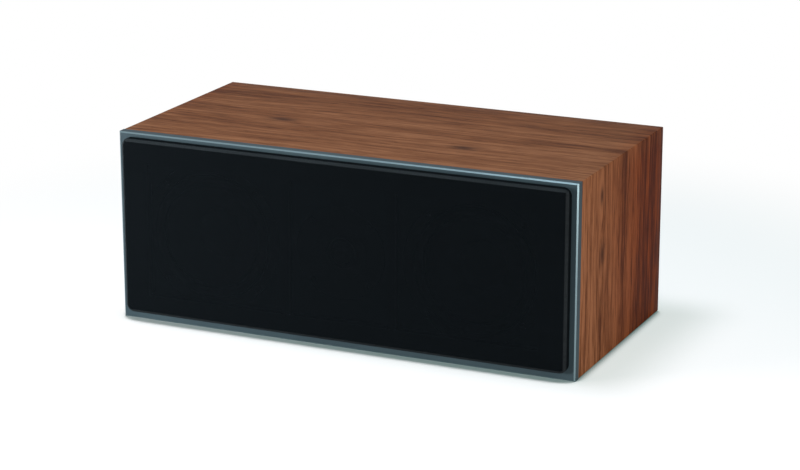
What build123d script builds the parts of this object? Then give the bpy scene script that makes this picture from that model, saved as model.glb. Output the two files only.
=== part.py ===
from build123d import *
import os

# Center channel speaker: a wood-grain box with a painted front baffle, two woofers either side of
# a dome tweeter, a black cloth grille that pulls off, and one pair of binding posts at the back.
# Millimetres, +Z up. The front faces -Y and the origin is the middle of the underside.

# Cabinet
cabinet_width = 540
cabinet_height = 214
cabinet_depth = 266
wall = 15
fit_gap = 0.2
rear_thickness = 15
rear_inset = 5
brace_thickness = 12
brace_rim = 32

# Front baffle: a lip that covers the box's front edge, and a plug that fits inside the walls
baffle_lip = 11
baffle_plug = 9
baffle_chamfer = 1.5

# Grille
grille_side_margin = 7
grille_top_margin = 5
grille_bottom_margin = 9.3
grille_depth = 9.5
grille_corner = 9
grille_edge_bevel = 3
grille_bar = 10
bar_recess = 2.5
window_clearance = 3
cloth_thickness = 0.6
cloth_gap = 0.1

# Grille magnets, in pairs: one behind the frame, one inside the baffle
magnet_length = 14
magnet_width = 8
magnet_thickness = 3
magnet_side_inset = 28
magnet_skin = 2

# Drivers on the baffle
driver_gap = 22
rebate_gap = 0.5
flange_thickness = 5
running_gap = 0.3
screw_count = 4
screw_head_radius = 3.6
screw_head_height = 1.8
screw_edge_inset = 5
screw_side_count = 8
screw_start_angle = 45

# Woofer, with depths taken back from the baffle face
woofer_flange_radius = 82
flange_land = 10
rebate_ledge = 11.5
basket_lip_land = 4
basket_wall_gap = 1
basket_depth = 60
basket_seat_radius = 42
basket_seat_thickness = 2.5
leg_count = 4
leg_width = 18
leg_depth = 6
spider_ledge_width = 4
spider_ledge_height = 6
surround_width = 17
surround_height = 4.4
cone_bond_width = 3
cone_depth = 27
cone_thickness = 0.9
cap_radius = 27
cap_height = 7
cap_crown_radius = 12
former_inner_radius = 16.5
former_thickness = 1
former_reach = 12
spider_thickness = 1.2
air_gap = 0.8
motor_wall = 6.5
motor_floor = 6
pole_recess = 2
pole_thickness = 8
woofer_magnet_thickness = 10
woofer_magnet_inset = 0.6

# Tweeter
tweeter_face_radius = 52
tweeter_bore_radius = 37
horn_mouth_radius = 30
horn_throat_radius = 17.5
horn_depth = 3
tweeter_motor_radius = 34
tweeter_motor_length = 26
dome_radius = 12.7
dome_crown_radius = 6
dome_height = 3.8
dome_roll = 1

# Terminal cup and binding posts
cup_width = 74
cup_height = 54
cup_depth = 22
cup_wall = 2.5
cup_flange = 11
cup_flange_thickness = 3
cup_flange_corner = 6
cup_screw_inset = 5.5
post_spacing = 38
stem_radius = 3.2
stem_inner_length = 14
stem_proud = 0.5
socket_radius = 2
socket_depth = 15
post_cap_across = 15
post_cap_side_count = 12
post_cap_length = 17

# Crossover on the cabinet floor
board_width = 100
board_length = 84
board_thickness = 1.6
board_from_rear = 26
standoff_size = 7
standoff_height = 8
standoff_inset = 6
coil_core_size = (40, 10, 10)
coil_core_place = (-24, -18)
coil_winding_length = 28
coil_winding_depth = 6
capacitor_size = (32, 14, 22)
capacitor_places = [(26, -28), (26, -8)]
resistor_size = (48, 9, 9)
resistor_place = (0, 26)

# Damping wadding behind each woofer
wadding_side_gap = 18
wadding_edge_gap = 27
wadding_thickness = 20

# Places that follow from the sizes above
front_y = -cabinet_depth / 2
rear_y = cabinet_depth / 2
axis_z = cabinet_height / 2
inner_width = cabinet_width - 2 * wall
inner_height = cabinet_height - 2 * wall
baffle_thickness = baffle_lip + baffle_plug
rear_inner_y = rear_y - rear_inset - rear_thickness
woofer_bore_radius = woofer_flange_radius - rebate_ledge
surround_outer_radius = woofer_flange_radius - flange_land
surround_inner_radius = surround_outer_radius - surround_width
basket_lip_radius = surround_outer_radius - basket_lip_land
cone_rim_radius = surround_inner_radius + cone_bond_width
woofer_x = tweeter_face_radius + driver_gap + woofer_flange_radius
brace_x = tweeter_face_radius + driver_gap / 2
sides = {"left": -1, "right": 1}
woofer_centres = [-woofer_x, woofer_x]

grille_width = cabinet_width - 2 * grille_side_margin
grille_height = cabinet_height - grille_top_margin - grille_bottom_margin
grille_z = grille_bottom_margin + grille_height / 2
window_height = 2 * (surround_outer_radius + window_clearance)
window_span = 2 * (woofer_x + surround_outer_radius + window_clearance)
magnet_dx = grille_width - 2 * magnet_side_inset
magnet_dz = (grille_height + window_height) / 2

# Seen from the front, sketch X is +X and sketch Y is +Z; from behind, sketch X is -X
front_plane = Plane(origin=(0, front_y, axis_z), x_dir=(1, 0, 0), z_dir=(0, -1, 0))
grille_plane = Plane(origin=(0, front_y, grille_z), x_dir=(1, 0, 0), z_dir=(0, -1, 0))
rear_plane = Plane(origin=(0, rear_y - rear_inset, axis_z), x_dir=(-1, 0, 0), z_dir=(0, 1, 0))

os.makedirs("parts", exist_ok=True)


def save(piece, label):
    piece.part.label = label
    export_step(piece.part, f"parts/{label}.step")


# A driver's half section: sketch X runs out from its axis, sketch Y runs back from the baffle face
def driver_plane(centre_x):
    return Plane(origin=(centre_x, front_y, axis_z), x_dir=(1, 0, 0), z_dir=(0, 0, 1))


def driver_axis(centre_x):
    return Axis((centre_x, front_y, axis_z), (0, 1, 0))


# Pieces turned to one half section, one on each of the centres
def turned(centres, *outline):
    with BuildPart() as piece:
        for centre_x in centres:
            with BuildSketch(driver_plane(centre_x)):
                with BuildLine():
                    Polyline(*outline, close=True)
                make_face()
            revolve(axis=driver_axis(centre_x))
    return piece


# The four walls are one V-grooved board, folded round so that the grain runs over the corners
with BuildPart() as cabinet_wrap:
    with BuildSketch(front_plane.offset(-baffle_lip)):
        Rectangle(cabinet_width, cabinet_height)
        Rectangle(inner_width, inner_height, mode=Mode.SUBTRACT)
    extrude(amount=baffle_lip - cabinet_depth)
save(cabinet_wrap, "cabinet_wrap")

with BuildPart() as front_baffle:
    with BuildSketch(front_plane):
        Rectangle(cabinet_width, cabinet_height)
    extrude(amount=-baffle_lip)
    chamfer(front_baffle.faces().sort_by(Axis.Y)[0].edges(), baffle_chamfer)
    with BuildSketch(front_plane.offset(-baffle_lip)):
        Rectangle(inner_width - 2 * fit_gap, inner_height - 2 * fit_gap)
    extrude(amount=-baffle_plug)
    with Locations(front_plane):
        with Locations((-woofer_x, 0), (woofer_x, 0)):
            CounterBoreHole(woofer_bore_radius, woofer_flange_radius + rebate_gap, flange_thickness)
        CounterBoreHole(tweeter_bore_radius, tweeter_face_radius + rebate_gap, flange_thickness)
    with BuildSketch(grille_plane.offset(-magnet_skin)):
        with GridLocations(magnet_dx, magnet_dz, 2, 2):
            Rectangle(magnet_length, magnet_width)
    extrude(amount=magnet_skin - baffle_thickness, mode=Mode.SUBTRACT)
save(front_baffle, "front_baffle")

with BuildPart() as rear_panel:
    with BuildSketch(rear_plane):
        Rectangle(inner_width - 2 * fit_gap, inner_height - 2 * fit_gap)
        Rectangle(
            cup_width + 2 * (cup_wall + fit_gap),
            cup_height + 2 * (cup_wall + fit_gap),
            mode=Mode.SUBTRACT,
        )
    extrude(amount=-rear_thickness)
save(rear_panel, "rear_panel")

# Window braces stand between the woofers and the tweeter, from the baffle to the rear panel
brace_front_y = front_y + baffle_thickness
brace_length = rear_inner_y - brace_front_y
chamber_start_x = brace_x + brace_thickness / 2
chamber_width = inner_width / 2 - chamber_start_x
for side, sign in sides.items():
    brace_plane = Plane(
        origin=(sign * brace_x, brace_front_y + brace_length / 2, axis_z),
        x_dir=(0, 1, 0),
        z_dir=(1, 0, 0),
    )
    with BuildPart() as brace:
        with BuildSketch(brace_plane):
            Rectangle(brace_length, inner_height)
            Rectangle(
                brace_length - 2 * brace_rim, inner_height - 2 * brace_rim, mode=Mode.SUBTRACT
            )
        extrude(amount=brace_thickness / 2, both=True)
    save(brace, f"brace_{side}")

    with BuildPart() as wadding:
        with BuildSketch(Plane.XZ.offset(running_gap - rear_inner_y)):
            with Locations((sign * (chamber_start_x + chamber_width / 2), axis_z)):
                Rectangle(chamber_width - 2 * wadding_side_gap, inner_height - 2 * wadding_edge_gap)
        extrude(amount=wadding_thickness)
    save(wadding, f"wadding_{side}")


# A block with the grille's outline, drawn in from its faces by the inset
def grille_block(inset):
    with BuildPart() as block:
        with BuildSketch(grille_plane):
            RectangleRounded(
                grille_width - 2 * inset, grille_height - 2 * inset, grille_corner - inset
            )
        extrude(amount=grille_depth - inset)
        chamfer(block.faces().sort_by(Axis.Y)[0].edges(), grille_edge_bevel)
    return block.part


cloth_outside = grille_block(0)
cloth_inside = grille_block(cloth_thickness)
with BuildPart() as grille_cloth:
    add(cloth_outside)
    add(cloth_inside, mode=Mode.SUBTRACT)
save(grille_cloth, "grille_cloth")

# Three windows, with the bars between them held back from the cloth
frame_block = grille_block(cloth_thickness + cloth_gap)
middle_window = 2 * brace_x - grille_bar
side_window = (window_span - middle_window) / 2 - grille_bar
side_window_x = brace_x + (grille_bar + side_window) / 2
with BuildPart() as grille_frame:
    add(frame_block)
    with BuildSketch(front_plane):
        Rectangle(middle_window, window_height)
        with Locations((-side_window_x, 0), (side_window_x, 0)):
            Rectangle(side_window, window_height)
    extrude(amount=grille_depth, mode=Mode.SUBTRACT)
    with BuildSketch(front_plane.offset(grille_depth - cloth_thickness - cloth_gap - bar_recess)):
        Rectangle(window_span, window_height)
    extrude(amount=grille_depth, mode=Mode.SUBTRACT)
    with BuildSketch(grille_plane):
        with GridLocations(magnet_dx, magnet_dz, 2, 2):
            Rectangle(magnet_length, magnet_width)
    extrude(amount=magnet_thickness, mode=Mode.SUBTRACT)
save(grille_frame, "grille_frame")

with BuildPart() as grille_magnets:
    with BuildSketch(grille_plane):
        with GridLocations(magnet_dx, magnet_dz, 2, 2):
            Rectangle(magnet_length, magnet_width)
    extrude(amount=magnet_thickness)
save(grille_magnets, "grille_magnets")

with BuildPart() as baffle_magnets:
    with BuildSketch(grille_plane.offset(-magnet_skin)):
        with GridLocations(magnet_dx, magnet_dz, 2, 2):
            Rectangle(magnet_length, magnet_width)
    extrude(amount=-magnet_thickness)
save(baffle_magnets, "baffle_magnets")

# Radii and depths that fit inside one another, from the coil former outwards
former_outer_radius = former_inner_radius + former_thickness
motor_bore_radius = former_outer_radius + air_gap
motor_radius = motor_bore_radius + motor_wall
pole_radius = former_inner_radius - air_gap
basket_wall_radius = woofer_bore_radius - basket_wall_gap
basket_floor_depth = basket_depth - basket_seat_thickness
former_end_depth = basket_depth + former_reach
spider_ledge_depth = basket_floor_depth - spider_ledge_height
pole_depth = basket_depth + pole_recess
pole_back_depth = pole_depth + pole_thickness
motor_floor_depth = pole_back_depth + woofer_magnet_thickness
cone_slope = cone_depth / (cone_rim_radius - former_outer_radius)
cap_rim_depth = cone_slope * (cone_rim_radius - cap_radius)
cap_crown_depth = cap_rim_depth - cap_height

# Cast baskets: mounting flange, straight legs, and the motor seat with the spider's ledge on it
with BuildPart() as woofer_baskets:
    for centre in woofer_centres:
        with BuildSketch(driver_plane(centre)):
            with BuildLine():
                Polyline(
                    (basket_lip_radius, 0),
                    (woofer_flange_radius, 0),
                    (woofer_flange_radius, flange_thickness),
                    (basket_lip_radius, flange_thickness),
                    close=True,
                )
            make_face()
            with BuildLine():
                Polyline(
                    (motor_bore_radius, basket_depth),
                    (basket_seat_radius, basket_depth),
                    (basket_seat_radius, spider_ledge_depth),
                    (basket_seat_radius - spider_ledge_width, spider_ledge_depth),
                    (basket_seat_radius - spider_ledge_width, basket_floor_depth),
                    (motor_bore_radius, basket_floor_depth),
                    close=True,
                )
            make_face()
        revolve(axis=driver_axis(centre))
        for leg in range(leg_count):
            leg_turn = 360 / leg_count * leg
            with BuildSketch(driver_plane(centre).rotated((0, leg_turn, 0))):
                with BuildLine():
                    Polyline(
                        (basket_lip_radius - leg_depth, flange_thickness / 2),
                        (basket_lip_radius, flange_thickness / 2),
                        (basket_wall_radius, flange_thickness),
                        (basket_seat_radius + leg_depth, basket_depth),
                        (basket_seat_radius - spider_ledge_width, basket_depth),
                        (basket_seat_radius, spider_ledge_depth),
                        close=True,
                    )
                make_face()
            extrude(amount=leg_width / 2, both=True)
save(woofer_baskets, "woofer_baskets")

for side, sign in sides.items():
    centre = [sign * woofer_x]

    surround = turned(
        centre,
        (surround_inner_radius, -running_gap),
        (surround_inner_radius, -surround_height),
        (surround_outer_radius, -surround_height),
        (surround_outer_radius, -running_gap),
    )
    save(surround, f"woofer_{side}_surround")

    # Cone, dust cap and coil former are bonded into one diaphragm
    cone = turned(
        centre,
        (0, cap_crown_depth),
        (cap_crown_radius, cap_crown_depth),
        (cap_radius, cap_rim_depth),
        (cone_rim_radius, 0),
        (cone_rim_radius, cone_thickness),
        (former_outer_radius, cone_depth + cone_thickness),
        (former_outer_radius, former_end_depth),
        (former_inner_radius, former_end_depth),
        (former_inner_radius, cap_crown_depth + cap_height),
        (0, cap_crown_depth + cap_height),
    )
    save(cone, f"woofer_{side}_cone")

    # The corrugated cloth that centres the former, on its ledge in the basket
    spider_back = spider_ledge_depth - running_gap
    spider = turned(
        centre,
        (former_outer_radius + running_gap, spider_back - spider_thickness),
        (basket_seat_radius - running_gap, spider_back - spider_thickness),
        (basket_seat_radius - running_gap, spider_back),
        (former_outer_radius + running_gap, spider_back),
    )
    save(spider, f"woofer_{side}_spider")

# Pot motors: a steel cup closes each magnet's field, so the speaker can stand by a screen
woofer_motor_cups = turned(
    woofer_centres,
    (motor_bore_radius, basket_depth),
    (motor_radius, basket_depth),
    (motor_radius, motor_floor_depth + motor_floor),
    (0, motor_floor_depth + motor_floor),
    (0, motor_floor_depth),
    (motor_bore_radius, motor_floor_depth),
)
save(woofer_motor_cups, "woofer_motor_cups")

woofer_magnets = turned(
    woofer_centres,
    (0, pole_back_depth),
    (pole_radius - woofer_magnet_inset, pole_back_depth),
    (pole_radius - woofer_magnet_inset, motor_floor_depth),
    (0, motor_floor_depth),
)
save(woofer_magnets, "woofer_magnets")

woofer_pole_plates = turned(
    woofer_centres,
    (0, pole_depth),
    (pole_radius, pole_depth),
    (pole_radius, pole_back_depth),
    (0, pole_back_depth),
)
save(woofer_pole_plates, "woofer_pole_plates")

# Tweeter: a flush faceplate with a short horn, a soft dome in its throat, a sealed motor behind
tweeter_faceplate = turned(
    [0],
    (horn_throat_radius, flange_thickness),
    (horn_throat_radius, horn_depth),
    (horn_mouth_radius, 0),
    (tweeter_face_radius, 0),
    (tweeter_face_radius, flange_thickness),
)
save(tweeter_faceplate, "tweeter_faceplate")

tweeter_motor = turned(
    [0],
    (0, flange_thickness),
    (tweeter_motor_radius, flange_thickness),
    (tweeter_motor_radius, flange_thickness + tweeter_motor_length),
    (0, flange_thickness + tweeter_motor_length),
)
save(tweeter_motor, "tweeter_motor")

dome_back = flange_thickness - running_gap
tweeter_dome = turned(
    [0],
    (0, dome_back - dome_roll - dome_height),
    (dome_crown_radius, dome_back - dome_roll - dome_height),
    (dome_radius, dome_back - dome_roll),
    (horn_throat_radius - running_gap, dome_back - dome_roll),
    (horn_throat_radius - running_gap, dome_back),
    (0, dome_back),
)
save(tweeter_dome, "tweeter_dome")

# Screw heads on the driver flanges
with BuildPart() as woofer_screws:
    with BuildSketch(front_plane):
        with Locations((-woofer_x, 0), (woofer_x, 0)):
            with PolarLocations(woofer_flange_radius - screw_edge_inset, screw_count, screw_start_angle):
                RegularPolygon(screw_head_radius, screw_side_count)
    extrude(amount=screw_head_height)
save(woofer_screws, "woofer_screws")

with BuildPart() as tweeter_screws:
    with BuildSketch(front_plane):
        with PolarLocations(tweeter_face_radius - screw_edge_inset, screw_count, screw_start_angle):
            RegularPolygon(screw_head_radius, screw_side_count)
    extrude(amount=screw_head_height)
save(tweeter_screws, "tweeter_screws")

# Terminal cup, let into the rear panel
cup_face = rear_plane.offset(cup_flange_thickness)
cup_floor = cup_face.offset(-cup_depth)
cup_screw_dx = cup_width + 2 * (cup_flange - cup_screw_inset)
cup_screw_dz = cup_height + 2 * (cup_flange - cup_screw_inset)
post_places = [(-post_spacing / 2, 0), (post_spacing / 2, 0)]
with BuildPart() as terminal_cup:
    with BuildSketch(rear_plane):
        RectangleRounded(
            cup_width + 2 * cup_flange, cup_height + 2 * cup_flange, cup_flange_corner
        )
    extrude(amount=cup_flange_thickness)
    with BuildSketch(rear_plane):
        Rectangle(cup_width + 2 * cup_wall, cup_height + 2 * cup_wall)
    extrude(amount=cup_flange_thickness - cup_depth - cup_wall)
    with BuildSketch(cup_face):
        Rectangle(cup_width, cup_height)
    extrude(amount=-cup_depth, mode=Mode.SUBTRACT)
    with Locations(cup_floor):
        with Locations(*post_places):
            Hole(stem_radius + fit_gap, depth=cup_wall)
save(terminal_cup, "terminal_cup")

with BuildPart() as terminal_screws:
    with BuildSketch(cup_face):
        with GridLocations(cup_screw_dx, cup_screw_dz, 2, 2):
            RegularPolygon(screw_head_radius, screw_side_count)
    extrude(amount=screw_head_height)
save(terminal_screws, "terminal_screws")

# Binding posts: threaded stems with a plug socket in the end, and fluted caps that unscrew
stem_outer_length = running_gap + post_cap_length + stem_proud
with BuildPart() as post_stems:
    with BuildSketch(cup_floor.offset(stem_outer_length)):
        with Locations(*post_places):
            Circle(stem_radius)
    extrude(amount=-(stem_outer_length + cup_wall + stem_inner_length))
    with Locations(cup_floor.offset(stem_outer_length)):
        with Locations(*post_places):
            Hole(socket_radius, depth=socket_depth)
save(post_stems, "post_stems")

for colour, place in zip(["black", "red"], post_places):
    with BuildPart() as post_cap:
        with BuildSketch(cup_floor.offset(running_gap)):
            with Locations(place):
                RegularPolygon(post_cap_across / 2, post_cap_side_count)
                Circle(stem_radius + running_gap, mode=Mode.SUBTRACT)
        extrude(amount=post_cap_length)
    save(post_cap, f"post_cap_{colour}")

# Crossover board on standoffs, with its coil, capacitors and resistor
board_y = rear_inner_y - board_from_rear - board_length / 2
board_z = wall + standoff_height
part_z = board_z + board_thickness
floor_plane = Plane(origin=(0, board_y, wall))
board_plane = Plane(origin=(0, board_y, board_z))
part_plane = Plane(origin=(0, board_y, part_z))
with BuildPart() as crossover_standoffs:
    with BuildSketch(floor_plane):
        with GridLocations(
            board_width - 2 * standoff_inset, board_length - 2 * standoff_inset, 2, 2
        ):
            Rectangle(standoff_size, standoff_size)
    extrude(amount=standoff_height)
save(crossover_standoffs, "crossover_standoffs")

with BuildPart() as crossover_board:
    with BuildSketch(board_plane):
        Rectangle(board_width, board_length)
    extrude(amount=board_thickness)
save(crossover_board, "crossover_board")

# Iron-core coil: a bar with its winding round the middle
core_length, core_width, core_height = coil_core_size
with BuildPart() as crossover_coil:
    with Locations(part_plane):
        with Locations((*coil_core_place, coil_winding_depth + core_height / 2)):
            Box(core_length, core_width, core_height)
            Box(
                coil_winding_length,
                core_width + 2 * coil_winding_depth,
                core_height + 2 * coil_winding_depth,
            )
save(crossover_coil, "crossover_coil")

with BuildPart() as crossover_capacitors:
    with BuildSketch(part_plane):
        with Locations(*capacitor_places):
            Rectangle(capacitor_size[0], capacitor_size[1])
    extrude(amount=capacitor_size[2])
save(crossover_capacitors, "crossover_capacitors")

with BuildPart() as crossover_resistor:
    with BuildSketch(part_plane):
        with Locations(resistor_place):
            Rectangle(resistor_size[0], resistor_size[1])
    extrude(amount=resistor_size[2])
save(crossover_resistor, "crossover_resistor")
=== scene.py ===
import math

import bmesh
import bpy
import numpy as np
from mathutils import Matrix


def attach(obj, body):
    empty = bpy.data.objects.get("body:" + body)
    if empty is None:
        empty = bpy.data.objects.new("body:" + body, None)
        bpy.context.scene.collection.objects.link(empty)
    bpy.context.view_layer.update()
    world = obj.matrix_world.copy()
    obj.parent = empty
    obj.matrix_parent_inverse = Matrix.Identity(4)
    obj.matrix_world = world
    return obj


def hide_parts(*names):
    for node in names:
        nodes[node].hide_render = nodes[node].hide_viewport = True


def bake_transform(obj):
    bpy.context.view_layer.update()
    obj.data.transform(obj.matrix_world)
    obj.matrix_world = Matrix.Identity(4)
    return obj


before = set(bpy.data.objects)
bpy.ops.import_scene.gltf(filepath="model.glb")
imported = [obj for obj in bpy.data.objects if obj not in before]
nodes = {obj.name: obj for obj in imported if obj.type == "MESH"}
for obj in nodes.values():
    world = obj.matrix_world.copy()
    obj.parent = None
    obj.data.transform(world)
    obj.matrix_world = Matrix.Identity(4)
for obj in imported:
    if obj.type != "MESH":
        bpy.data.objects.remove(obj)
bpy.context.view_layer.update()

scene = bpy.context.scene

# where the drivers sit, in metres: baffle face, their axis height, and the woofers' distance from the middle
frontY = -0.133
axisZ = 0.107
wooferX = 0.156


# a shader socket: sums on it add Math nodes, and every other node comes from make()
class Sock:
    def __init__(self, tree, out=None):
        self.tree = tree
        self.out = out

    def feed(self, socket, value):
        if isinstance(value, Sock):
            self.tree.links.new(value.out, socket)
        else:
            socket.default_value = value

    def make(self, kind, sockets, settings=None, output=0):
        node = self.tree.nodes.new("ShaderNode" + kind)
        for name, value in (settings or {}).items():
            if name == "stops":
                ramp = node.color_ramp.elements
                while len(ramp) < len(value):
                    ramp.new(1.0)
                for stop, (place, colour) in zip(ramp, value):
                    stop.position = place
                    stop.color = (*colour, 1.0)
            else:
                setattr(node, name, value)
        for key, value in sockets.items():
            self.feed(node.inputs[key], value)
        return Sock(self.tree, node.outputs[output])

    def math(self, operation, *values):
        return self.make("Math", dict(enumerate(values)), {"operation": operation})

    def __add__(self, other):
        return self.math("ADD", self, other)

    def __sub__(self, other):
        return self.math("SUBTRACT", self, other)

    def __rsub__(self, other):
        return self.math("SUBTRACT", other, self)

    def __mul__(self, other):
        return self.math("MULTIPLY", self, other)

    def __truediv__(self, other):
        return self.math("DIVIDE", self, other)

    __radd__ = __add__
    __rmul__ = __mul__

    # smooth step from 0 at low to 1 at high
    def step(self, low, high):
        return self.make(
            "MapRange",
            {"Value": self, "From Min": low, "From Max": high},
            {"interpolation_type": "SMOOTHSTEP"},
        )

    def split(self):
        return [self.make("SeparateXYZ", {0: self}, output=i) for i in range(3)]

    def join(self, x, y, z):
        return self.make("CombineXYZ", {0: x, 1: y, 2: z})

    def noise(self, where, scale, detail=2.0, rough=0.5):
        return self.make(
            "TexNoise", {"Vector": where, "Scale": scale, "Detail": detail, "Roughness": rough}
        )

    def mix(self, share, first, second, kind="MIX"):
        return self.make(
            "Mix", {0: share, 6: first, 7: second}, {"data_type": "RGBA", "blend_type": kind}, 2
        )

    def ramp(self, stops):
        return self.make("ValToRGB", {0: self}, {"stops": stops})

    def bump(self, height, distance, strength=1.0):
        return self.make(
            "Bump", {"Height": height, "Distance": distance, "Strength": strength}
        )


# a new material with its Principled shader and a socket to build on
def newFinish(name, **fixed):
    material = bpy.data.materials.new(name)
    material.use_nodes = True
    shader = material.node_tree.nodes["Principled BSDF"]
    for key, value in fixed.items():
        socket = {"rough": "Roughness", "metal": "Metallic", "spec": "Specular IOR Level"}[key]
        shader.inputs[socket].default_value = value
    tool = Sock(material.node_tree)
    return material, shader, tool


def rgb(colour):
    return (*colour, 1.0)


# moulded, painted or plated finish: a mottled colour, uneven gloss and a fine grain of the given size in metres
def plainFinish(name, colour, rough, metal=0.0, mottle=0.15, grain=0.0008, depth=0.00002, spec=0.16):
    material, shader, tool = newFinish(name, metal=metal, spec=spec)
    where = tool.make("TexCoord", {}, output=3)
    cloud = tool.noise(where, 28.0, 3.0)
    speck = tool.noise(where, 1.0 / grain, 2.0)
    low = rgb([c * (1 - mottle) for c in colour])
    high = rgb([min(1.0, c * (1 + mottle)) for c in colour])
    tool.feed(shader.inputs["Base Color"], tool.mix(cloud.step(0.3, 0.7), low, high))
    tool.feed(shader.inputs["Roughness"], cloud * 0.1 + (speck * 0.08 + (rough - 0.09)))
    tool.feed(shader.inputs["Normal"], tool.bump(speck, depth))
    return material


# points of a rounded rectangle, taken clockwise from the middle of its bottom edge, with the arc length to each;
# side counts points on a straight run and corner those on a quarter turn
def outline(halfWide, halfHigh, radius, side=24, corner=8):
    radius = max(radius, 0.0)
    flatX, flatZ = halfWide - radius, halfHigh - radius
    run = np.linspace(-1, 1, side, endpoint=False)
    turn = np.linspace(0, math.pi / 2, corner, endpoint=False)
    half = np.linspace(0, 1, side // 2, endpoint=False)
    corners = [(-1, -1, -90), (-1, 1, 180), (1, 1, 90), (1, -1, 0)]
    arcs = []
    for signX, signZ, start in corners:
        angle = math.radians(start) - turn
        arcs.append(np.stack([signX * flatX + radius * np.cos(angle),
                              signZ * flatZ + radius * np.sin(angle)], 1))
    bottomLeft = np.stack([-half * flatX, np.full_like(half, -halfHigh)], 1)
    left = np.stack([np.full_like(run, -halfWide), run * flatZ], 1)
    top = np.stack([run * flatX, np.full_like(run, halfHigh)], 1)
    right = np.stack([np.full_like(run, halfWide), -run * flatZ], 1)
    bottomRight = np.stack([(1 - half) * flatX, np.full_like(half, -halfHigh)], 1)
    points = np.concatenate([bottomLeft, arcs[0], left, arcs[1], top, arcs[2], right, arcs[3],
                             bottomRight, [[0.0, -halfHigh]]])
    length = np.concatenate([[0.0], np.cumsum(np.linalg.norm(np.diff(points, axis=0), axis=1))])
    return points, length


# a mesh of quads over an n x m grid of points; repeated points at seams and poles are merged,
# and faces turned outwards
def gridPiece(name, points, uv=None, sharp=35):
    rows, columns = points.shape[:2]
    index = np.arange(rows * columns).reshape(rows, columns)
    quads = np.stack([index[:-1, :-1], index[:-1, 1:], index[1:, 1:], index[1:, :-1]], -1).reshape(-1, 4)
    mesh = bpy.data.meshes.new(name)
    mesh.from_pydata(points.reshape(-1, 3).tolist(), [], quads.tolist())
    if uv is not None:
        layer = mesh.uv_layers.new(name="UVMap")
        layer.data.foreach_set("uv", uv.reshape(-1, 2)[quads.ravel()].astype(np.float32).ravel())
    work = bmesh.new()
    work.from_mesh(mesh)
    bmesh.ops.remove_doubles(work, verts=work.verts, dist=1e-6)
    bmesh.ops.dissolve_degenerate(work, edges=work.edges, dist=1e-7)
    bmesh.ops.recalc_face_normals(work, faces=work.faces)
    work.to_mesh(mesh)
    work.free()
    mesh.shade_smooth()
    mesh.set_sharp_from_angle(angle=math.radians(sharp))
    piece = bpy.data.objects.new(name, mesh)
    scene.collection.objects.link(piece)
    return piece


# a half section (radius, depth back from the baffle face) spun round an axis that runs along Y
def lathe(profile, centreX, centreZ=axisZ, baseY=frontY, turns=96):
    profile = np.asarray(profile, float)
    angle = np.linspace(0, 2 * math.pi, turns + 1)
    radius, depth = profile[:, :1], profile[:, 1:]
    return np.stack([centreX + radius * np.cos(angle), baseY + depth + 0 * angle,
                     centreZ + radius * np.sin(angle)], -1)


# smooth curve through a few (radius, depth) points, by the piecewise cubic that Catmull and Rom gave
def smoothLine(points, steps=8):
    points = np.asarray(points, float)
    ends = np.vstack([2 * points[0] - points[1], points, 2 * points[-1] - points[-2]])
    t = np.linspace(0, 1, steps, endpoint=False)[:, None, None]
    a, b, c, d = ends[:-3], ends[1:-2], ends[2:-1], ends[3:]
    curve = 0.5 * (2 * b + (c - a) * t + (2 * a - 5 * b + 4 * c - d) * t**2 + (3 * b - a - 3 * c + d) * t**3)
    return np.vstack([curve.transpose(1, 0, 2).reshape(-1, 2), points[-1]])


def dress(piece, material, slot, *replaced, body=None):
    piece.data.materials.clear()
    piece.data.materials.append(material)
    if replaced:
        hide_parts(*replaced)
    if body:
        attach(piece, body)
    return piece


def dressNode(name, material):
    for slot in nodes[name].material_slots:
        slot.material = material


print("stage: finishes")

# wood grain of the folded board: UV runs along the grain over the corners, and across it along the cabinet's depth
wood = {
    "dark": (0.066, 0.017, 0.0045),
    "mid": (0.166, 0.057, 0.020),
    "light": (0.290, 0.118, 0.052),
    "pore": (0.040, 0.012, 0.005),
    # painted shade: a darker, redder tint multiplied into the end walls towards the rear
    "paintedRearShade": (0.84, 0.44, 0.18),
    "rough": 0.52,
    # how often each kind of figure repeats along and across the grain
    "wander": (2.2, 7.0),
    "band": (1.6, 30.0),
    "streak": (8.0, 150.0),
    "line": (26.0, 480.0),
    "pores": (60.0, 900.0),
    # places on the board: a band that darkens towards the rear, the turn to the end walls, and the part of those that
    # gets a painted shade towards the rear
    "rearDarkening": (-0.02, 0.13),
    "ends": (0.235, 0.300),
    "rearward": (-0.10, 0.12),
    # how narrow each knot's dark eye is along and across the grain, and how dark
    "eye": (13.0, 7.0),
    "eyeDepth": 0.95,
    # place along the grain, place across it, and reach both ways of each knot, with how far the lines bend
    "knots": [(0.365, -0.058, 0.050, 0.016, 0.011), (0.300, -0.062, 0.036, 0.012, 0.008),
              (0.105, -0.045, 0.055, 0.020, 0.010), (-0.130, -0.010, 0.060, 0.018, 0.012),
              (-0.350, 0.030, 0.050, 0.018, 0.011)],
}


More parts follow.
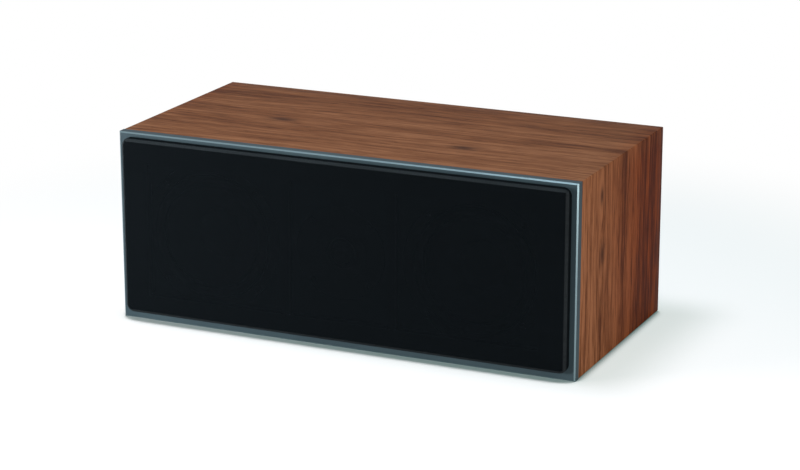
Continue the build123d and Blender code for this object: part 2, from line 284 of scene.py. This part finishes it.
def walnutFinish():
    material, shader, tool = newFinish("walnutWrap", spec=0.02)
    place = tool.make("UVMap", {}, {"uv_map": "UVMap"})
    along, across, _ = place.split()

    # noise drawn out along the grain; layer keeps one kind apart from another
    def figure(kind, where, layer, detail, rough=0.5):
        lengthwise, crosswise = wood[kind]
        return tool.noise(tool.join(along * lengthwise, where * crosswise, layer), 1.0, detail, rough)

    # the lines wander slowly, and part round each knot
    wander = figure("wander", across, 0.0, 2.0) - 0.5
    flow = across + wander * 0.030
    eye = 0.0
    for knotAlong, knotAcross, reachAlong, reachAcross, bend in wood["knots"]:
        da = (along - knotAlong) / reachAlong
        dc = (across - knotAcross) / reachAcross
        near = tool.math("EXPONENT", (da * da + dc * dc) * -1.0)
        flow = flow - near * dc * bend
        eye = tool.math("EXPONENT", (da * da * wood["eye"][0] + dc * dc * wood["eye"][1]) * -1.0) + eye
    band = figure("band", flow, 0.3, 2.0, 0.55)
    streak = figure("streak", flow, 1.7, 3.0, 0.6)
    line = figure("line", flow, 4.1, 3.0, 0.65)
    pore = figure("pores", flow, 7.9, 1.0)
    # the board is darker towards the rear
    rearDarkening = across.step(*wood["rearDarkening"])
    tone = band * 0.40 + (streak * 0.55 + line * 0.60) - (rearDarkening * 0.06 + 0.252)
    # the figure is stronger on the end walls, and a painted shade makes them darker and redder towards the rear
    ends = tool.math("ABSOLUTE", along).step(*wood["ends"])
    tone = (tone - 0.5) * (ends * 0.65 + 0.85) + 0.5
    colour = tone.ramp([(0.35, wood["dark"]), (0.50, wood["mid"]), (0.66, wood["light"])])
    paintedRearShade = ends * across.step(*wood["rearward"])
    colour = tool.mix(paintedRearShade, colour, rgb(wood["paintedRearShade"]), "MULTIPLY")
    dots = pore.step(0.60, 0.70) * streak.step(0.62, 0.40)
    colour = tool.mix(dots * 0.6, colour, rgb(wood["pore"]))
    colour = tool.mix(eye * wood["eyeDepth"], colour, rgb(wood["pore"]))
    tool.feed(shader.inputs["Base Color"], colour)
    tool.feed(shader.inputs["Roughness"], line * 0.14 + (dots * 0.12 + (wood["rough"] - 0.07)))
    tool.feed(shader.inputs["Normal"], tool.bump(line * 0.5 - dots, 0.00004))
    return material


grille = {"wide": 0.526, "high": 0.1997, "midZ": 0.10915, "front": -0.1425, "back": -0.1332, "corner": 0.009,
          "bevel": 0.003, "soft": 0.0007}

# black cloth in plain weave: two sets of threads pass over and under on the cloth's own flat measure
weave = {"pitch": 0.00095, "thread": (0.0042, 0.0064, 0.0080), "dark": (0.0012, 0.0020, 0.0026), "open": 0.03,
         # edge is the colour of the painted highlight on the frame's bevel, and the last two entries bound where it
         # lies
         "edge": (0.034, 0.042, 0.046), "highlightIn": (-0.0036, -0.0028), "highlightOut": (0.0012, 0.0002)}


def clothFinish():
    material, shader, tool = newFinish("grilleCloth", rough=0.85, spec=0.02)
    place = tool.make("UVMap", {}, {"uv_map": "UVMap"})
    u, v, _ = place.split()
    turn = math.pi / weave["pitch"]
    warp = tool.math("ABSOLUTE", tool.math("SINE", u * turn))
    weft = tool.math("ABSOLUTE", tool.math("SINE", v * turn))
    side = tool.math("SINE", u * turn) * tool.math("SINE", v * turn)
    over = side.step(-0.2, 0.2)
    height = over * warp + (1.0 - over) * weft
    fibre = tool.noise(tool.join(u * 900.0, v * 900.0, 0.0), 1.0, 2.0)
    slub = tool.noise(tool.join(u * 14.0, v * 420.0, 2.0), 1.0, 2.0)
    # the threads are painted darker where they sink between crossings, a painted shade in the weave's hollows, and
    # their tone also varies at random with fibre and slub
    tone = height * (fibre * 0.5 + (slub * 0.5 + 0.35))
    # over the frame's bevel the cloth is painted paler: a painted highlight where the bevel catches the light, while
    # the side behind it stays dark
    past = tool.math("MAXIMUM", tool.math("ABSOLUTE", u) - grille["wide"] / 2,
                     tool.math("ABSOLUTE", v) - grille["high"] / 2)
    bevelHighlight = past.step(*weave["highlightIn"]) * past.step(*weave["highlightOut"])
    thread = tool.mix(bevelHighlight, rgb(weave["thread"]), rgb(weave["edge"]))
    tool.feed(shader.inputs["Base Color"], tool.mix(tone.step(0.15, 0.95), rgb(weave["dark"]), thread))
    gap = (1.0 - warp).step(0.55, 0.95) * (1.0 - weft).step(0.55, 0.95)
    tool.feed(shader.inputs["Alpha"], 1.0 - (gap * 0.3 + weave["open"]))
    tool.feed(shader.inputs["Normal"], tool.bump(height + fibre * 0.3, 0.00012, 0.7))
    return material


# satin blue-grey paint with faint orange peel; the chamfer round the front is cut bright
paint = {"low": (0.036, 0.057, 0.068), "high": (0.045, 0.071, 0.082), "rough": 0.42,
         "bright": (0.145, 0.205, 0.228), "chamfer": 0.0015, "halfWide": 0.270,
         "halfHigh": 0.107, "blur": 0.00008}


def paintFinish():
    material, shader, tool = newFinish("bafflePaint", spec=0.02)
    where = tool.make("TexCoord", {}, output=3)
    x, y, z = where.split()
    cloud = tool.noise(where, 9.0, 2.0)
    peel = tool.noise(where, 420.0, 1.0)
    rim = tool.math("MAXIMUM", tool.math("ABSOLUTE", x) - paint["halfWide"],
                    tool.math("ABSOLUTE", z - axisZ) - paint["halfHigh"])
    chamferY = frontY + paint["chamfer"]
    cut = (rim.step(-paint["chamfer"], paint["blur"] - paint["chamfer"])
           * y.step(chamferY, chamferY - paint["blur"]))
    colour = tool.mix(cloud.step(0.3, 0.7), rgb(paint["low"]), rgb(paint["high"]))
    tool.feed(shader.inputs["Base Color"], tool.mix(cut, colour, rgb(paint["bright"])))
    tool.feed(shader.inputs["Metallic"], cut * 0.7)
    tool.feed(shader.inputs["Roughness"], cloud * 0.08 + (paint["rough"] - cut * 0.12 - 0.04))
    tool.feed(shader.inputs["Normal"], tool.bump(peel, 0.00002))
    return material


walnut = walnutFinish()
cloth = clothFinish()
bafflePaint = paintFinish()
grillePlastic = plainFinish("grillePlastic", (0.012, 0.012, 0.013), 0.6)
basketBlack = plainFinish("basketBlack", (0.020, 0.021, 0.023), 0.48, depth=0.00003)
rubber = plainFinish("surroundRubber", (0.012, 0.012, 0.012), 0.62, grain=0.0005)
coneGrey = plainFinish("coneGrey", (0.045, 0.046, 0.050), 0.55, mottle=0.25, grain=0.0012, depth=0.00005)
spiderCloth = plainFinish("spiderCloth", (0.42, 0.28, 0.09), 0.85, grain=0.0009, depth=0.0001)
domeFabric = plainFinish("domeFabric", (0.016, 0.016, 0.018), 0.58, grain=0.0004)
faceBlack = plainFinish("faceplateBlack", (0.016, 0.016, 0.018), 0.52, grain=0.0006, depth=0.00003)
screwBlack = plainFinish("screwBlack", (0.02, 0.02, 0.02), 0.38, metal=0.6)
steel = plainFinish("motorSteel", (0.48, 0.48, 0.50), 0.36, metal=1.0)
nickel = plainFinish("magnetNickel", (0.62, 0.61, 0.59), 0.25, metal=1.0)
blackBoard = plainFinish("blackBoard", (0.018, 0.018, 0.019), 0.62, grain=0.0011, depth=0.00006)
rawBoard = plainFinish("rawBoard", (0.32, 0.20, 0.105), 0.85, mottle=0.2, grain=0.0011, depth=0.0001)
terminalBlack = plainFinish("terminalBlack", (0.017, 0.017, 0.018), 0.5, grain=0.0007, depth=0.00004)
postMetal = plainFinish("postMetal", (0.72, 0.52, 0.22), 0.24, metal=1.0)
capRed = plainFinish("capRed", (0.42, 0.012, 0.012), 0.3, mottle=0.06)
capBlack = plainFinish("capBlack", (0.016, 0.016, 0.017), 0.3, mottle=0.06)
laminate = plainFinish("boardResin", (0.24, 0.16, 0.06), 0.6)
copper = plainFinish("coilCopper", (0.52, 0.20, 0.08), 0.35, metal=1.0, grain=0.0006, depth=0.0001)
film = plainFinish("capacitorFilm", (0.20, 0.03, 0.018), 0.3)
cement = plainFinish("resistorCement", (0.62, 0.61, 0.56), 0.9, grain=0.0006, depth=0.0001)
nylon = plainFinish("standoffNylon", (0.62, 0.62, 0.58), 0.5)
wadding = plainFinish("waddingWhite", (0.68, 0.68, 0.65), 0.95, grain=0.002, depth=0.0006)

for name, finish in [
    ("front_baffle", bafflePaint), ("rear_panel", blackBoard), ("brace_left", rawBoard),
    ("brace_right", rawBoard), ("grille_frame", grillePlastic), ("grille_magnets", nickel),
    ("baffle_magnets", nickel), ("woofer_baskets", basketBlack), ("woofer_motor_cups", steel),
    ("woofer_magnets", nickel), ("woofer_pole_plates", steel), ("tweeter_faceplate", faceBlack),
    ("tweeter_motor", steel), ("terminal_cup", terminalBlack), ("post_stems", postMetal),
    ("crossover_board", laminate), ("crossover_coil", copper), ("crossover_capacitors", film),
    ("crossover_resistor", cement), ("crossover_standoffs", nylon),
]:
    dressNode(name, finish)

print("stage: cabinet wrap")
wrap = {"wide": 0.540, "high": 0.214, "front": -0.122, "rear": 0.133, "wall": 0.015, "round": 0.0011,
        "rearRound": 0.0006}


# wall section carried round the box: outside face from front to rear, rear rim, inside face back to the front
def wrapShell():
    q = np.linspace(0, math.pi / 2, 5)
    rr = wrap["rearRound"]
    along = np.linspace(wrap["front"], wrap["rear"] - rr, 12)
    inset = np.concatenate([np.zeros(12), rr * (1 - np.cos(q[1:])), [wrap["wall"], wrap["wall"], 0.0]])
    y = np.concatenate([along, wrap["rear"] - rr + rr * np.sin(q[1:]), [wrap["rear"], wrap["front"], wrap["front"]]])
    rings, uv = [], []
    _, outerLength = outline(wrap["wide"] / 2, wrap["high"] / 2, wrap["round"])
    middle = outerLength[-1] / 2
    for d, depth in zip(inset, y):
        ring, _ = outline(wrap["wide"] / 2 - d, wrap["high"] / 2 - d, wrap["round"] - d)
        rings.append(np.stack([ring[:, 0], np.full(len(ring), depth), ring[:, 1] + wrap["high"] / 2], 1))
        uv.append(np.stack([outerLength - middle, np.full(len(ring), depth) + d], 1))
    return gridPiece("cabinetWrap", np.array(rings), np.array(uv), sharp=50)


dress(wrapShell(), walnut, "walnut_wrap", "cabinet_wrap", body="cabinet")

print("stage: grille")


# flat front drawn out in rings from the middle line, a bevel with softened edges, then the side back to the baffle;
# the flat measure of the cloth grows outwards by the length of the section that it has gone round
def clothTray():
    half = grille["high"] / 2
    bevel, soft = grille["bevel"], grille["soft"]
    start = np.array([(bevel + soft, 0.0), (bevel + soft * 0.45, soft * 0.08), (bevel, soft * 0.3),
                      (bevel - soft * 0.55, soft * 0.75)])
    end = np.array([(soft * 0.75, bevel - soft * 0.55), (soft * 0.3, bevel), (soft * 0.08, bevel + soft * 0.45),
                    (0.0, bevel + soft)])
    side = np.linspace(bevel + soft, grille["back"] - grille["front"], 5)[1:]
    edge = np.vstack([start, end, np.stack([0 * side, side], 1)])
    gone = np.concatenate([[0.0], np.cumsum(np.linalg.norm(np.diff(edge, axis=0), axis=1))])
    flatInset = np.concatenate([np.linspace(half, bevel + soft, 18)[:-1], bevel + soft - gone])
    inset = np.concatenate([np.linspace(half, bevel + soft, 18)[:-1], edge[:, 0]])
    y = grille["front"] + np.concatenate([np.zeros(17), edge[:, 1]])
    rings, uv = [], []
    for d, f, depth in zip(inset, flatInset, y):
        ring, _ = outline(grille["wide"] / 2 - d, half - d, grille["corner"] - d, 40, 8)
        flat, _ = outline(grille["wide"] / 2 - f, half - f, grille["corner"] - f, 40, 8)
        rings.append(np.stack([ring[:, 0], np.full(len(ring), depth), ring[:, 1] + grille["midZ"]], 1))
        uv.append(flat)
    return gridPiece("grilleCloth", np.array(rings), np.array(uv), sharp=60)


clothPiece = dress(clothTray(), cloth, "grille_cloth", "grille_cloth", body="grille")

print("stage: drivers")
woofer = {"roll": (0.0585, 0.0695), "outer": 0.072, "inner": 0.0552, "height": 0.0040, "sheet": 0.0009, "turns": 128}
cone = {"rim": 0.058, "cap": 0.027, "capDepth": 0.02067, "crown": 0.01367, "neck": 0.0175, "neckDepth": 0.0279,
        "tubeEnd": 0.072, "tubeInner": 0.0165, "wall": 0.0009,
        "facePoints": [(0.0475, 0.0062), (0.0370, 0.0132)], "backPoints": [(0.0370, 0.0143), (0.0475, 0.0072)]}
spider = {"inner": 0.0178, "outer": 0.0417, "depth": 0.0506, "wave": 0.0009, "rings": 5, "half": 0.00025,
          "bend": (0.0195, 0.0400), "turns": 72}


# half roll between two flat lands, with its underside a sheet's thickness below
def surroundSection():
    low, high = woofer["roll"]
    mid, reach = (low + high) / 2, (high - low) / 2
    t = np.linspace(math.pi, 0, 25)
    top = np.stack([mid + reach * np.cos(t), -0.0004 - woofer["height"] * np.sin(t)], 1)
    under = np.stack([mid + (reach - woofer["sheet"]) * np.cos(t[::-1]),
                      -0.0003 - (woofer["height"] - woofer["sheet"]) * np.sin(t[::-1])], 1)
    return np.vstack([[woofer["inner"], -0.0003], [woofer["inner"], -0.0009], [low - 0.0006, -0.0009], top,
                      [high + 0.0006, -0.0009], [woofer["outer"] - 0.0003, -0.0009], [woofer["outer"], -0.0006],
                      [woofer["outer"], -0.0003], under, [woofer["inner"], -0.0003]])


# flared cone face with a domed cap in the middle, its back face, and the coil tube behind
def coneSection():
    face = smoothLine([(cone["rim"], 0.0), *cone["facePoints"], (cone["cap"], cone["capDepth"])], 10)
    t = np.linspace(0, 1, 20)
    rise = cone["capDepth"] - cone["crown"]
    cap = np.stack([cone["cap"] * (1 - t), cone["capDepth"] - 0.0003 - rise * (1 - (1 - t) ** 2.2)], 1)
    back = smoothLine([(cone["neck"], cone["neckDepth"]), (cone["cap"], cone["capDepth"] + 0.0012),
                       *cone["backPoints"], (cone["rim"], cone["wall"])], 8)
    tube = [(0.0, cone["crown"] + 0.0012), (cone["tubeInner"], cone["capDepth"] - 0.001),
            (cone["tubeInner"], cone["tubeEnd"]), (cone["neck"], cone["tubeEnd"])]
    return np.vstack([face, [cone["cap"] + 0.0002, cone["capDepth"] - 0.0002], cap, tube, back, [cone["rim"], 0.0]])


# cloth disc pressed in rings, thin all over
def spiderSection():
    t = np.linspace(0, 1, 90)
    r = spider["inner"] + (spider["outer"] - spider["inner"]) * t
    fade = np.sin(math.pi * t) ** 0.5
    wave = spider["depth"] + spider["wave"] * fade * np.sin(2 * math.pi * spider["rings"] * t)
    half = spider["half"]
    return np.vstack([np.stack([r, wave - half], 1), np.stack([r[::-1], wave[::-1] + half], 1),
                      [r[0], wave[0] - half]])


# bakes the piece's placement into its mesh and works out how far each point lies from the outer radius towards the
# inner one; no point is moved
def bendRound(piece, side, centreX, inner, outer):
    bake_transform(piece)
    place = np.empty(len(piece.data.vertices) * 3, np.float32)
    piece.data.vertices.foreach_get("co", place)
    place = place.reshape(-1, 3)
    radius = np.hypot(place[:, 0] - centreX, place[:, 2] - axisZ)
    share = np.clip((outer - radius) / (outer - inner), 0, 1)
    share = share * share * (3 - 2 * share)


for side, centreX in (("left", -wooferX), ("right", wooferX)):
    turns = woofer["turns"]
    ring = gridPiece(f"{side}Surround", lathe(surroundSection(), centreX, turns=turns), sharp=50)
    dress(ring, rubber, "surround_rubber", f"woofer_{side}_surround")
    bendRound(ring, side, centreX, *woofer["roll"])
    disc = gridPiece(f"{side}Spider", lathe(spiderSection(), centreX, turns=spider["turns"]), sharp=60)
    dress(disc, spiderCloth, "spider_cloth", f"woofer_{side}_spider")
    bendRound(disc, side, centreX, *spider["bend"])
    body = gridPiece(f"{side}Cone", lathe(coneSection(), centreX, turns=turns), sharp=40)
    dress(body, coneGrey, "cone_grey", f"woofer_{side}_cone", body=f"{side}_cone")

dome = {"radius": 0.0127, "edge": 0.0172, "back": 0.0047, "base": 0.0037, "rise": 0.0036,
        "rollEnd": 0.0164, "rollHigh": 0.0010}


# soft dome on a small half roll, closed by a flat back
def domeSection():
    t = np.linspace(0, 1, 24)
    cap = np.stack([dome["radius"] * t, dome["base"] - dome["rise"] * (1 - t**2.3)], 1)
    q = np.linspace(math.pi, 0, 12)
    mid, reach = (dome["radius"] + dome["rollEnd"]) / 2, (dome["rollEnd"] - dome["radius"]) / 2
    roll = np.stack([mid + reach * np.cos(q), dome["base"] - dome["rollHigh"] * np.sin(q)], 1)
    return np.vstack([cap, roll[1:], [dome["edge"], dome["base"]], [dome["edge"], dome["back"]], [0.0, dome["back"]]])


dress(gridPiece("tweeterDome", lathe(domeSection(), 0.0, turns=96), sharp=50), domeFabric, "dome_fabric",
      "tweeter_dome", body="cabinet")

screw = {"radius": 0.0036, "height": 0.0018, "socket": 0.0014, "sink": 0.0012,
         "wooferCircle": 0.077, "tweeterCircle": 0.047}


# pan head with a six-sided socket: the socket's rows follow a hexagon and the rest circles
def screwHead(centreX, centreZ, faceY, outward):
    angle = np.linspace(0, 2 * math.pi, 25)
    hexagon = math.cos(math.pi / 6) / np.cos((angle + math.pi / 6) % (math.pi / 3) - math.pi / 6)
    r, h = screw["radius"], screw["height"]
    rows = [(0.0, h - screw["sink"], 1), (screw["socket"], h - screw["sink"], 1), (screw["socket"], h, 1),
            (screw["socket"] * 1.35, h, 0), (r * 0.72, h * 0.94, 0), (r * 0.92, h * 0.72, 0), (r, h * 0.35, 0),
            (r, 0.0, 0), (0.0, 0.0, 0)]
    ring = np.array([radius * (hexagon if six else 1.0 + 0 * angle) for radius, _, six in rows])
    up = np.array([height for _, height, _ in rows])[:, None]
    return np.stack([centreX + ring * np.cos(angle), faceY + outward * up + 0 * angle,
                     centreZ + ring * np.sin(angle)], -1)


def joinPieces(name, parts):
    work = bmesh.new()
    for part in parts:
        work.from_mesh(part.data)
        old = part.data
        bpy.data.objects.remove(part)
        bpy.data.meshes.remove(old)
    mesh = bpy.data.meshes.new(name)
    work.to_mesh(mesh)
    work.free()
    mesh.shade_smooth()
    mesh.set_sharp_from_angle(angle=math.radians(40))
    piece = bpy.data.objects.new(name, mesh)
    scene.collection.objects.link(piece)
    return piece


def screwSet(name, places, faceY, outward, node):
    heads = [gridPiece(f"{name}{i}", screwHead(x, z, faceY, outward)) for i, (x, z) in enumerate(places)]
    dress(joinPieces(name, heads), screwBlack, "screw_black", node, body="cabinet")


diagonals = [math.radians(45 + 90 * i) for i in range(4)]


def onCircle(centreX, radius):
    return [(centreX + radius * math.cos(a), axisZ + radius * math.sin(a)) for a in diagonals]


screwSet("wooferScrews", onCircle(-wooferX, screw["wooferCircle"]) + onCircle(wooferX, screw["wooferCircle"]),
         frontY, -1, "woofer_screws")
screwSet("tweeterScrews", onCircle(0.0, screw["tweeterCircle"]), frontY, -1, "tweeter_screws")

print("stage: terminals")
terminal = {"screwX": 0.0425, "screwZ": 0.0325, "faceY": 0.131, "postX": 0.019}
screwSet("terminalScrews", [(x * terminal["screwX"], axisZ + z * terminal["screwZ"])
                            for x in (-1, 1) for z in (-1, 1)], terminal["faceY"], 1, "terminal_screws")
postCap = {"radius": 0.0075, "bore": 0.0035, "start": 0.1093, "end": 0.1263, "flutes": 14, "cut": 0.0007}


# fluted knob: a ring section carried round the stem, its radius dipping between the flutes away from both ends
def capShell(name, centreX):
    turns = postCap["flutes"] * 12
    angle = np.linspace(0, 2 * math.pi, turns + 1)
    r, b, y0, y1 = postCap["radius"], postCap["bore"], postCap["start"], postCap["end"]
    rows = np.array([(b, y0, 0), (r - 0.0012, y0, 0), (r - 0.0004, y0 + 0.0003, 0), (r, y0 + 0.0010, 0),
                     (r, y0 + 0.0034, 0), (r - 0.0008, y0 + 0.0040, 0), (r - 0.0005, y0 + 0.0048, 0.6),
                     (r, y0 + 0.0058, 1), (r, y0 + 0.0105, 1), (r, y1 - 0.0022, 1), (r - 0.0003, y1 - 0.0010, 0.6),
                     (r - 0.0011, y1 - 0.0002, 0), (r - 0.0017, y1, 0), (b, y1, 0), (b, y0, 0)])
    dip = postCap["cut"] * (0.5 - 0.5 * np.cos(angle * postCap["flutes"])) ** 1.5
    ring = rows[:, :1] - rows[:, 2:] * dip
    return gridPiece(name, np.stack([centreX + ring * np.cos(angle), rows[:, 1:2] + 0 * angle,
                                     axisZ + ring * np.sin(angle)], -1), sharp=50)


dress(capShell("postCapRed", -terminal["postX"]), capRed, "cap_red", "post_cap_red", body="red_cap")
dress(capShell("postCapBlack", terminal["postX"]), capBlack, "cap_black", "post_cap_black", body="black_cap")

print("stage: wadding")
pad = {"wide": 0.150, "high": 0.130, "thick": 0.020, "back": 0.1127, "centre": 0.162, "corner": 0.02,
       "wave": 0.0012}


# pillow: rings from the back's middle out to the edge and in again over the front, thickest in the middle,
# with low waves all over
def padShell(name, centreX):
    half = pad["high"] / 2
    t = np.linspace(0, math.pi, 31)
    inset = half * (1 - np.sin(t) ** 0.35)
    inset[0] = inset[-1] = half
    lift = pad["thick"] * 0.5 * (1 - np.sign(np.cos(t)) * np.abs(np.cos(t)) ** 0.4)
    rings = []
    for d, up in zip(inset, lift):
        ring, _ = outline(pad["wide"] / 2 - d, half - d, pad["corner"] - d, 24, 8)
        wave = pad["wave"] * np.sin(ring[:, 0] * 130 + 2) * np.cos(ring[:, 1] * 170) * (up / pad["thick"])
        rings.append(np.stack([centreX + ring[:, 0], pad["back"] - up - wave, ring[:, 1] + axisZ], 1))
    return gridPiece(name, np.array(rings), sharp=80)


for side, centreX in (("left", -pad["centre"]), ("right", pad["centre"])):
    pillow = dress(padShell(f"{side}Wadding", centreX), wadding, "wadding_white", f"wadding_{side}", body="cabinet")

print("stage: light and camera")
studio = {"ambient": 0.12, "floor": (0.50, 0.41, 0.425), "glow": (0.58, 0.665, 0.65), "near": 0.45, "far": 0.85,
          "contact": 0.022, "shade": (0.0, 0.09, 0.08), "reach": 6, "drop": 0.0002}


# rays from the camera, and those that metal and glass turn, see the backdrop as white
def seenBy(tool):
    camera, glossy, clear = [tool.make("LightPath", {}, output=name) for name in
                             ("Is Camera Ray", "Is Glossy Ray", "Is Transmission Ray")]
    return tool.math("MAXIMUM", camera, tool.math("MAXIMUM", glossy, clear))


# pale floor: diffuse near the object, so that it keeps the shadow, with a cool lift that reaches white farther off
def studioFloor():
    span = np.linspace(-studio["reach"], studio["reach"], 3)
    gx, gy = np.meshgrid(span, span, indexing="ij")
    piece = gridPiece("floor", np.stack([gx, gy, 0 * gx - studio["drop"]], -1))
    material = bpy.data.materials.new("floorPale")
    material.use_nodes = True
    tool = Sock(material.node_tree)
    material.node_tree.nodes.remove(material.node_tree.nodes["Principled BSDF"])
    seen = seenBy(tool)
    x, y, _ = tool.make("TexCoord", {}, output=3).split()
    away = tool.math("SQRT", x * x + y * y).step(studio["near"], studio["far"])
    matt = tool.make("BsdfDiffuse", {"Color": rgb(studio["floor"])})
    # the lift fades where the box stands close over the floor, so that the line of contact stays dark
    clear = tool.make("AmbientOcclusion", {"Distance": studio["contact"]}, output="AO").step(0.45, 0.75)
    glow = tool.mix(clear, rgb(studio["shade"]), rgb(studio["glow"]))
    lift = tool.make("Emission", {"Color": glow, "Strength": seen})
    white = tool.make("Emission", {"Color": (1, 1, 1, 1)})
    both = tool.make("MixShader", {0: away * seen, 1: tool.make("AddShader", {0: matt, 1: lift}), 2: white})
    tool.feed(material.node_tree.nodes["Material Output"].inputs["Surface"], both)
    piece.data.materials.append(material)


def studioWorld():
    world = bpy.data.worlds.new("studio")
    scene.world = world
    world.use_nodes = True
    tool = Sock(world.node_tree)
    back = world.node_tree.nodes["Background"]
    back.inputs["Color"].default_value = (1, 1, 1, 1)
    tool.feed(back.inputs["Strength"], seenBy(tool) * (1 - studio["ambient"]) + studio["ambient"])


def aimed(thing, spot, target):
    way = np.array(target) - np.array(spot)
    thing.location = spot
    thing.rotation_mode = "XYZ"
    tilt = math.atan2(math.hypot(way[0], way[1]), -way[2])
    heading = math.atan2(way[1], way[0]) - math.pi / 2
    thing.rotation_euler = (tilt, 0.0, heading)


def softbox(name, spot, target, size, watts, colour=(1, 1, 1)):
    lamp = bpy.data.lights.new(name, "AREA")
    lamp.shape = "RECTANGLE"
    lamp.size, lamp.size_y = size
    lamp.energy = watts
    lamp.color = colour
    thing = bpy.data.objects.new(name, lamp)
    scene.collection.objects.link(thing)
    aimed(thing, spot, target)


studioFloor()
studioWorld()
lamps = [
    {"name": "keyLeft", "spot": (-0.80, -0.85, 0.20), "target": (-0.15, -0.13, 0.11), "size": (0.5, 0.3),
     "watts": 17},
    {"name": "fillRight", "spot": (0.95, -0.56, 0.15), "target": (0.27, -0.05, 0.11), "size": (0.35, 0.25),
     "watts": 5.5, "colour": (1.0, 0.97, 0.93)},
    {"name": "overhead", "spot": (-0.14, -0.08, 1.6), "target": (0, 0, 0.2), "size": (0.45, 0.45),
     "watts": 17.4, "colour": (0.83, 0.92, 1.0)},
]
for lamp in lamps:
    softbox(**lamp)

view = {"azimuth": 24.38, "elevation": 16.32, "target": (0.021, -0.025, 0.101), "distance": 2.864, "lens": 116.55}
camera = bpy.data.objects.new("camera", bpy.data.cameras.new("camera"))
scene.collection.objects.link(camera)
scene.camera = camera
camera.data.sensor_width = 36.0
camera.data.lens = view["lens"]
camera.data.clip_end = 50
az, el = math.radians(view["azimuth"]), math.radians(view["elevation"])
away = np.array([math.sin(az) * math.cos(el), -math.cos(az) * math.cos(el), math.sin(el)])
aimed(camera, np.array(view["target"]) + view["distance"] * away, view["target"])

scene.view_settings.view_transform = "Standard"

print("stage: finished")
